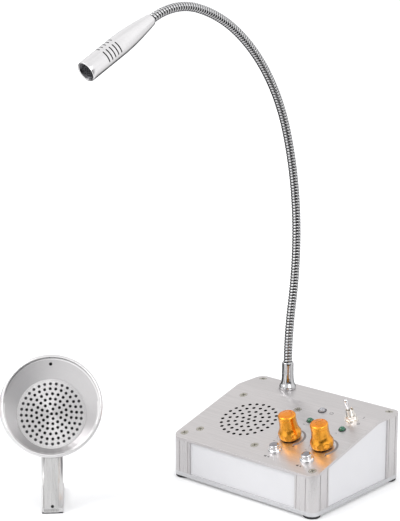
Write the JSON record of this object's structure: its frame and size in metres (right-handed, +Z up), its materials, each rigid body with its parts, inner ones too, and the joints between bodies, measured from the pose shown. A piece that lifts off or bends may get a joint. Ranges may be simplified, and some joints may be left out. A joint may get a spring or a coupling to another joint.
{
  "type": "teller window intercom",
  "caption": "Counter intercom: sloped metal case with loudspeaker grille, orange volume knobs, mute buttons and toggle switch, long gooseneck microphone, and a round outside station on a stem.",
  "frame": {"origin": "on the counter under the middle of the case's rectangular footprint, in the plane of the undersides of its feet", "axes": "+X to the user's right along the case, +Y away from the user towards the case's rear plate with the sockets, +Z up"},
  "size_m": [0.1969, 0.2232, 0.347],
  "materials": {
    "panel_metal": "brushed along its length, satin",
    "base_metal": "satin",
    "post_metal": "extruded, silver anodised, fine vertical flutes",
    "plate_white": "smooth white paint",
    "rubber_black": "matt",
    "screw_steel": "polished",
    "speaker_metal": "black, semi-matt",
    "speaker_paper": "pressed paper, matt",
    "magnet_iron": "ferrite, matt",
    "board_green": "solder mask",
    "nylon_white": "natural nylon",
    "sink_black": "black anodised",
    "capacitor_sleeve": "shrink sleeve",
    "nickel": "nickel plate",
    "knob_orange": "orange-gold anodised, glossy",
    "switch_black": "moulded",
    "button_silver": "turned, satin",
    "lamp_dark": "unlit lens",
    "lamp_green": "unlit green lens",
    "neck_chrome": "polished spiral tube",
    "ferrule_chrome": "mirror polish",
    "mic_silver": "satin, turned",
    "mic_dark": "perforated, dark",
    "station_silver": "satin, turned"
  },
  "bodies": {
    "case": {"top_panel": "panel_metal", "bottom_plate": "base_metal", "front_posts": "post_metal", "rear_posts": "post_metal", "front_plate": "plate_white", "rear_plate": "plate_white", "left_plate": "plate_white", "right_plate": "plate_white", "rubber_feet": "rubber_black", "foot_screws": "screw_steel", "panel_screws": "screw_steel", "speaker_frame": "speaker_metal", "speaker_cone": "speaker_paper", "speaker_magnet": "magnet_iron", "speaker_screws": "screw_steel", "speaker_nuts": "screw_steel", "circuit_board": "board_green", "board_standoffs": "nylon_white", "heat_sink": "sink_black", "capacitors": "capacitor_sleeve", "pot_bodies": "nickel", "pot_nuts": "nickel", "button_switches": "switch_black", "button_bezels": "button_silver", "toggle_switch": "nickel", "toggle_nut": "nickel", "toggle_washer": "nickel", "power_lamp": "lamp_dark", "green_lamps": "lamp_green", "power_jack": "switch_black", "station_jack": "switch_black", "neck_ferrule": "ferrule_chrome", "neck_nut": "nickel", "neck_base": "neck_chrome"},
    "volume_left": {"pot_shaft_left": "nickel", "volume_knob_left": "knob_orange"},
    "volume_right": {"pot_shaft_right": "nickel", "volume_knob_right": "knob_orange"},
    "mute_left": {"mute_button_left": "button_silver"},
    "mute_right": {"mute_button_right": "button_silver"},
    "toggle": {"toggle_lever": "ferrule_chrome"},
    "neck_1": {"neck_link_1": "neck_chrome"},
    "neck_2": {"neck_link_2": "neck_chrome"},
    "neck_3": {"neck_link_3": "neck_chrome"},
    "neck_4": {"neck_link_4": "neck_chrome"},
    "neck_5": {"neck_link_5": "neck_chrome"},
    "neck_6": {"neck_link_6": "neck_chrome"},
    "neck_7": {"neck_link_7": "neck_chrome", "mic_body": "mic_silver", "mic_grille": "mic_dark", "mic_capsule": "mic_dark"},
    "station": {"station_dish": "station_silver", "station_grille": "station_silver", "station_speaker": "speaker_metal", "station_cone": "speaker_paper", "station_cover": "station_silver", "station_stem": "station_silver", "station_mic": "mic_dark", "station_screws": "screw_steel", "station_pad": "rubber_black"}
  },
  "joints": [
    {"name": "volume_left_turn", "type": "hinge", "parent": "case", "child": "volume_left", "pos_m": [0.01859, -0.01871, 0.04058], "axis": [0, -0.264, 0.9645], "range_deg": [-150, 150]},
    {"name": "volume_right_turn", "type": "hinge", "parent": "case", "child": "volume_right", "pos_m": [0.047, -0.01871, 0.04058], "axis": [0, -0.264, 0.9645], "range_deg": [-150, 150]},
    {"name": "mute_left_press", "type": "slide", "parent": "case", "child": "mute_left", "axis": [0, 0.264, -0.9645], "range_m": [0, 0.0016], "stiffness_N_per_m": 300, "springref_m": -0.002},
    {"name": "mute_right_press", "type": "slide", "parent": "case", "child": "mute_right", "axis": [0, 0.264, -0.9645], "range_m": [0, 0.0016], "stiffness_N_per_m": 300, "springref_m": -0.002},
    {"name": "toggle_flip", "type": "hinge", "parent": "case", "child": "toggle", "pos_m": [0.04498, 0.01658, 0.05439], "axis": [-1, 0, 0], "range_deg": [0, 24]},
    {"name": "neck_bend_1", "type": "hinge", "parent": "case", "child": "neck_1", "pos_m": [-0.0297, 0.04297, 0.11732], "axis": [0.9962, -0.0872, 0], "range_deg": [-10, 10]},
    {"name": "neck_sway_2", "type": "hinge", "parent": "neck_1", "child": "neck_2", "pos_m": [-0.02936, 0.04684, 0.16161], "axis": [-0.0871, -0.996, 0.0175], "range_deg": [-10, 10]},
    {"name": "neck_bend_3", "type": "hinge", "parent": "neck_2", "child": "neck_3", "pos_m": [-0.02959, 0.04413, 0.20598], "axis": [0.9962, -0.0872, 0], "range_deg": [-10, 10]},
    {"name": "neck_bend_4", "type": "hinge", "parent": "neck_3", "child": "neck_4", "pos_m": [-0.03043, 0.03455, 0.24938], "axis": [0.9962, -0.0872, 0], "range_deg": [-10, 10]},
    {"name": "neck_sway_5", "type": "hinge", "parent": "neck_4", "child": "neck_5", "pos_m": [-0.03208, 0.0157, 0.28949], "axis": [-0.0727, -0.8307, -0.5519], "range_deg": [-10, 10]},
    {"name": "neck_bend_6", "type": "hinge", "parent": "neck_5", "child": "neck_6", "pos_m": [-0.03469, -0.01412, 0.32217], "axis": [0.9962, -0.0872, 0], "range_deg": [-10, 10]},
    {"name": "neck_bend_7", "type": "hinge", "parent": "neck_6", "child": "neck_7", "pos_m": [-0.03813, -0.05343, 0.34206], "axis": [0.9962, -0.0872, 0], "range_deg": [-10, 10]},
    {"name": "station_lift", "type": "slide", "parent": "case", "child": "station", "axis": [0, 0, 1], "range_m": [0, 0.04]}
  ],
  "couplings": [
    {"joint": "neck_bend_3", "follows": "neck_bend_1", "ratio": 1},
    {"joint": "neck_bend_4", "follows": "neck_bend_1", "ratio": 1},
    {"joint": "neck_bend_6", "follows": "neck_bend_1", "ratio": 1},
    {"joint": "neck_bend_7", "follows": "neck_bend_1", "ratio": 1},
    {"joint": "neck_sway_5", "follows": "neck_sway_2", "ratio": 1}
  ]
}
